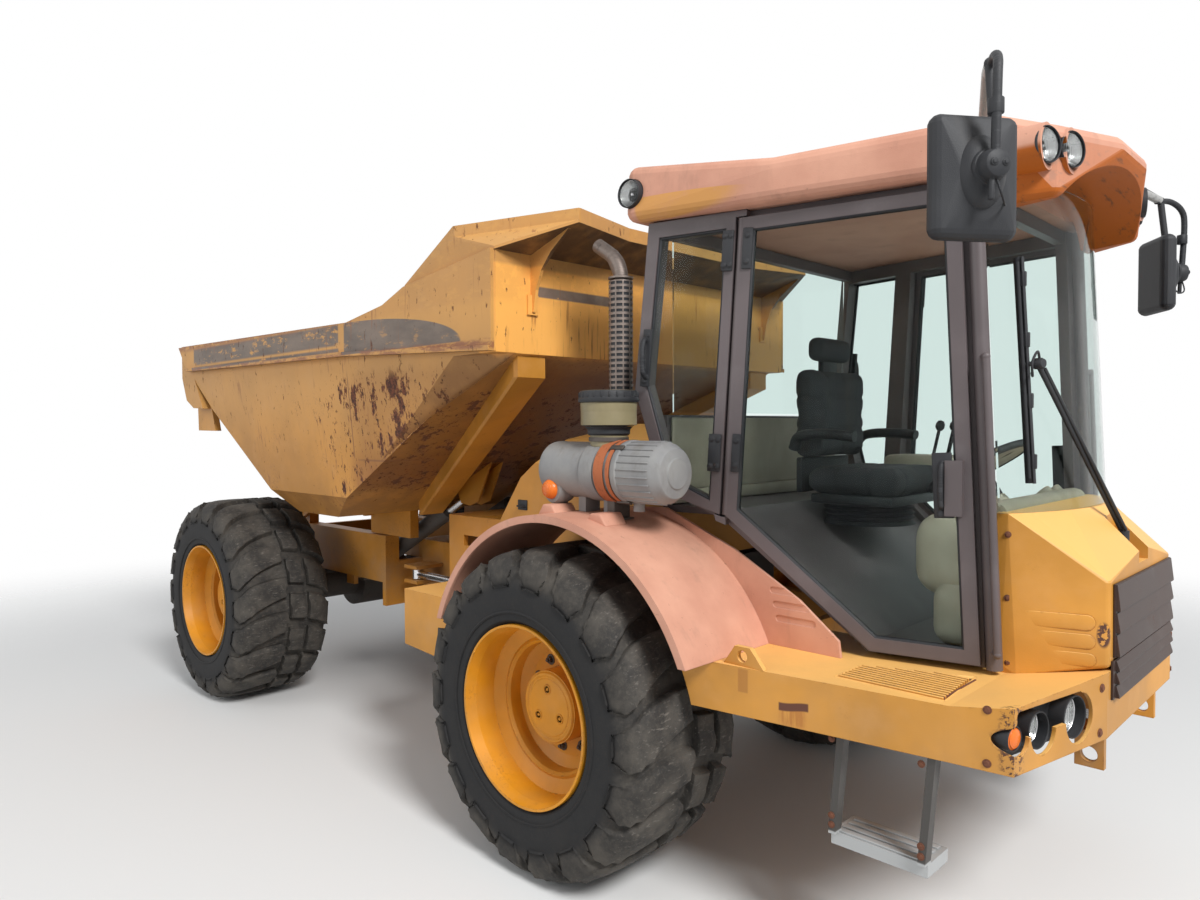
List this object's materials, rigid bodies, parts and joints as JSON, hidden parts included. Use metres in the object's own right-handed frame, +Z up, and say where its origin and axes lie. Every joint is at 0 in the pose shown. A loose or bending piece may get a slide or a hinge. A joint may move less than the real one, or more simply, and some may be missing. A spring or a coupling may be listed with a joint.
{
  "type": "articulated dump truck",
  "caption": "Small centre-pivot dump truck with a cab and engine hood in front, and a tipping hopper body on a hinged rear frame, on four lugged tyres.",
  "frame": {"origin": "middle of the vehicle on the ground under its unloaded tyres", "axes": "+X forward toward the grille, +Y to the driver's left, +Z up"},
  "size_m": [5.76, 2.54, 2.7875],
  "materials": {
    "yellow_paint": "worn yellow-orange paint with rust streaks",
    "body_paint": "yellow-orange paint, scratched and rusty",
    "frame_paint": "dusty yellow-orange paint",
    "axle_paint": "dirty cast iron",
    "faded_plastic": "sun-faded orange plastic",
    "cab_paint": "brown-grey paint",
    "grille_paint": "brown-grey paint",
    "grey_plastic": "weathered grey plastic",
    "cream_plastic": "dusty cream plastic",
    "black_plastic": "dull black",
    "step_metal": "scuffed aluminium",
    "lamp": "clear lamp lenses in grey housings",
    "glass": "clear",
    "interior": "beige trim",
    "seat_fabric": "dark woven fabric",
    "engine": "oily cast iron",
    "exhaust_steel": "heat-stained steel",
    "cylinder_paint": "dark dusty paint",
    "rod_chrome": "bright hard chrome",
    "tyre": "dusty black rubber",
    "rim_paint": "dirty yellow-orange paint"
  },
  "bodies": {
    "front_unit": {"front_frame": "frame_paint", "front_axle": "axle_paint", "bumper_deck": "yellow_paint", "deck_treads": "cab_paint", "lifting_eyes": "yellow_paint", "tow_eyes": "frame_paint", "side_steps": "step_metal", "side_boxes": "yellow_paint", "fenders": "faded_plastic", "nose_cowl": "yellow_paint", "grille": "grille_paint", "cab_frame": "cab_paint", "cab_tub": "cab_paint", "windshield": "glass", "cab_glass": "glass", "roof": "faded_plastic", "lamps": "lamp", "seat": "seat_fabric", "console": "interior", "engine_block": "engine", "engine_hood": "yellow_paint", "air_cleaner": "grey_plastic", "pre_cleaner": "cream_plastic", "exhaust": "exhaust_steel", "mirrors": "black_plastic", "wiper": "black_plastic"},
    "door_right": {"door_right": "cab_paint", "door_glass_right": "glass"},
    "door_left": {"door_left": "cab_paint", "door_glass_left": "glass"},
    "steer_barrel_right": {"steer_barrel_right": "cylinder_paint"},
    "steer_rod_right": {"steer_rod_right": "rod_chrome"},
    "steer_barrel_left": {"steer_barrel_left": "cylinder_paint"},
    "steer_rod_left": {"steer_rod_left": "rod_chrome"},
    "rear_unit": {"rear_frame": "frame_paint", "rear_axle": "axle_paint"},
    "tip_barrels": {"tip_barrels": "cylinder_paint"},
    "tip_rods": {"tip_rods": "rod_chrome"},
    "bed": {"dump_body": "body_paint", "body_arms": "frame_paint", "canopy": "body_paint"},
    "wheel_front_right": {"tyre_front_right": "tyre", "rim_front_right": "rim_paint"},
    "wheel_front_left": {"tyre_front_left": "tyre", "rim_front_left": "rim_paint"},
    "wheel_rear_right": {"tyre_rear_right": "tyre", "rim_rear_right": "rim_paint"},
    "wheel_rear_left": {"tyre_rear_left": "tyre", "rim_rear_left": "rim_paint"}
  },
  "joints": [
    {"name": "steer", "type": "hinge", "parent": "front_unit", "child": "rear_unit", "pos_m": [-0.89, 0, 0.812], "axis": [0, 0, 1], "range_deg": [-35, 35]},
    {"name": "tip", "type": "hinge", "parent": "rear_unit", "child": "bed", "pos_m": [-2.39, 0, 1.152], "axis": [0, -1, 0], "range_deg": [0, 60]},
    {"name": "door_right_hinge", "type": "hinge", "parent": "front_unit", "child": "door_right", "pos_m": [1.66181, -0.73938, 1.432], "axis": [-0.0608, -0.0124, -0.9981], "range_deg": [0, 80]},
    {"name": "door_left_hinge", "type": "hinge", "parent": "front_unit", "child": "door_left", "pos_m": [1.66181, 0.73938, 1.432], "axis": [0.0608, -0.0124, 0.9981], "range_deg": [0, 80]},
    {"name": "roll_front_right", "type": "hinge", "parent": "front_unit", "child": "wheel_front_right", "pos_m": [1.06, -0.97, 0.645], "axis": [0, 1, 0], "continuous": true},
    {"name": "roll_front_left", "type": "hinge", "parent": "front_unit", "child": "wheel_front_left", "pos_m": [1.06, 0.97, 0.645], "axis": [0, 1, 0], "continuous": true},
    {"name": "roll_rear_right", "type": "hinge", "parent": "rear_unit", "child": "wheel_rear_right", "pos_m": [-2.13, -0.97, 0.645], "axis": [0, 1, 0], "continuous": true},
    {"name": "roll_rear_left", "type": "hinge", "parent": "rear_unit", "child": "wheel_rear_left", "pos_m": [-2.13, 0.97, 0.645], "axis": [0, 1, 0], "continuous": true},
    {"name": "steer_barrel_right_swing", "type": "hinge", "parent": "front_unit", "child": "steer_barrel_right", "pos_m": [0.01, -0.3, 0.822], "axis": [0, 0, 1], "range_deg": [-7, 7]},
    {"name": "steer_rod_right_slide", "type": "slide", "parent": "steer_barrel_right", "child": "steer_rod_right", "axis": [-1, 0, 0], "range_m": [-0.182, 0.182]},
    {"name": "steer_barrel_left_swing", "type": "hinge", "parent": "front_unit", "child": "steer_barrel_left", "pos_m": [0.01, 0.3, 0.822], "axis": [0, 0, 1], "range_deg": [-7, 7]},
    {"name": "steer_rod_left_slide", "type": "slide", "parent": "steer_barrel_left", "child": "steer_rod_left", "axis": [-1, 0, 0], "range_m": [-0.182, 0.182]},
    {"name": "tip_barrels_swing", "type": "hinge", "parent": "rear_unit", "child": "tip_barrels", "pos_m": [-1.84, 0, 0.732], "axis": [0, -1, 0], "range_deg": [0, 60]},
    {"name": "tip_rods_slide", "type": "slide", "parent": "tip_barrels", "child": "tip_rods", "axis": [0.893, 0, 0.45], "range_m": [0, 0.7]}
  ],
  "couplings": [
    {"joint": "steer_barrel_right_swing", "follows": "steer", "ratio": 0.18},
    {"joint": "steer_barrel_left_swing", "follows": "steer", "ratio": 0.18},
    {"joint": "steer_rod_right_slide", "follows": "steer", "m_per_rad": -0.295},
    {"joint": "steer_rod_left_slide", "follows": "steer", "m_per_rad": 0.295},
    {"joint": "tip_barrels_swing", "follows": "tip", "ratio": 0.98},
    {"joint": "tip_rods_slide", "follows": "tip", "m_per_rad": 0.666}
  ]
}
